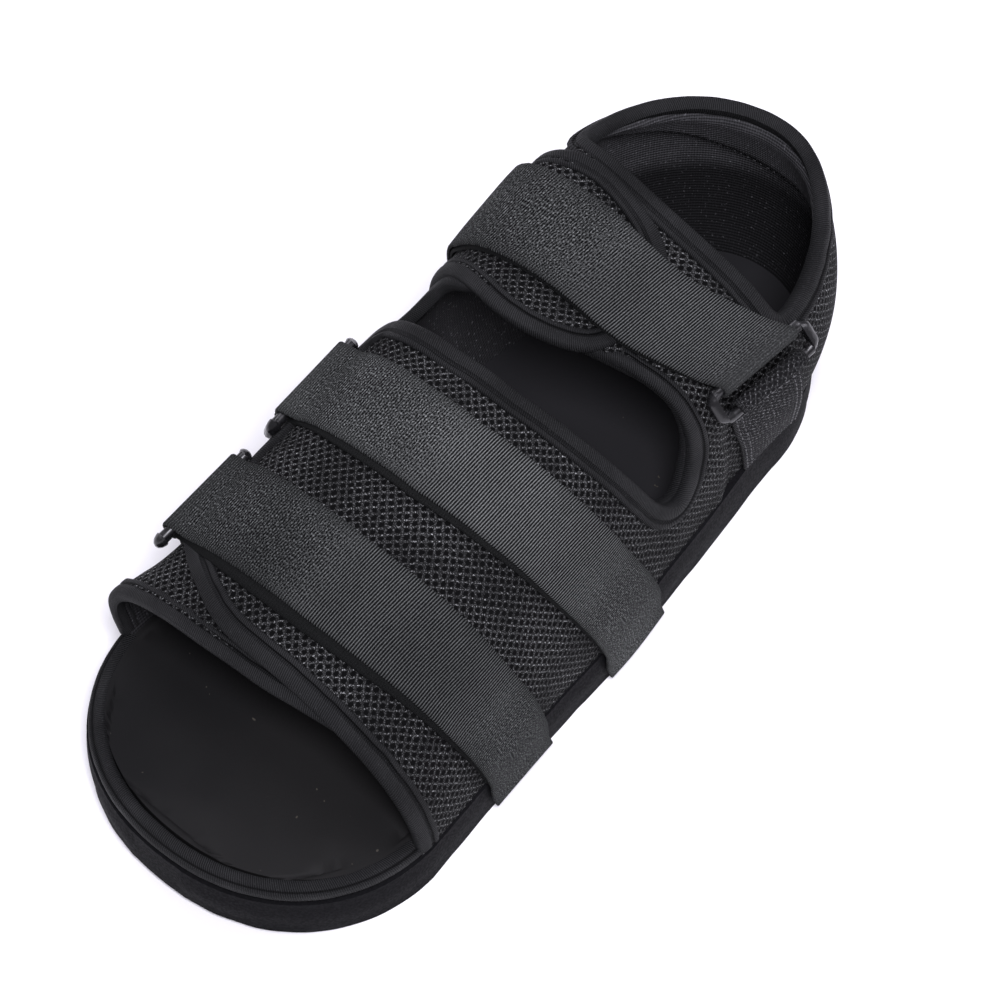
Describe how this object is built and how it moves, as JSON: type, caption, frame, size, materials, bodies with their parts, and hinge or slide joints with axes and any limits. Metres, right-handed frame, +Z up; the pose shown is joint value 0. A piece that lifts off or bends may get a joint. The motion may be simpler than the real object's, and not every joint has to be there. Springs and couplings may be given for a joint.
{
  "type": "post operative shoe",
  "caption": "Open-toe post operative shoe: thick flat sole, mesh upper with padded collar, three looped strap closures.",
  "frame": {"origin": "on the floor, under the middle of the sole, half way between toe and heel", "axes": "+Z up, -Y towards the toe, +Y towards the heel, +X towards the side where the two front straps are fixed"},
  "size_m": [0.1257, 0.2985, 0.1074],
  "materials": {
    "sole_foam": "matte",
    "footbed_foam": "matte",
    "binding_tape": "ribbed",
    "mesh_fabric": "open mesh",
    "loop_tape": "fine nap",
    "ring_plastic": "gloss",
    "tab_fabric": "matte"
  },
  "bodies": {
    "root": {"sole": "sole_foam", "footbed": "footbed_foam", "toe_rim": "binding_tape", "upper": "mesh_fabric", "vamp_flap": "mesh_fabric", "ankle_flap": "mesh_fabric", "strap_front": "loop_tape", "strap_middle": "loop_tape", "strap_ankle": "loop_tape", "ring_front": "ring_plastic", "ring_middle": "ring_plastic", "ring_ankle": "ring_plastic", "tab_front": "tab_fabric", "tab_middle": "tab_fabric", "tab_ankle": "tab_fabric"}
  },
  "joints": []
}
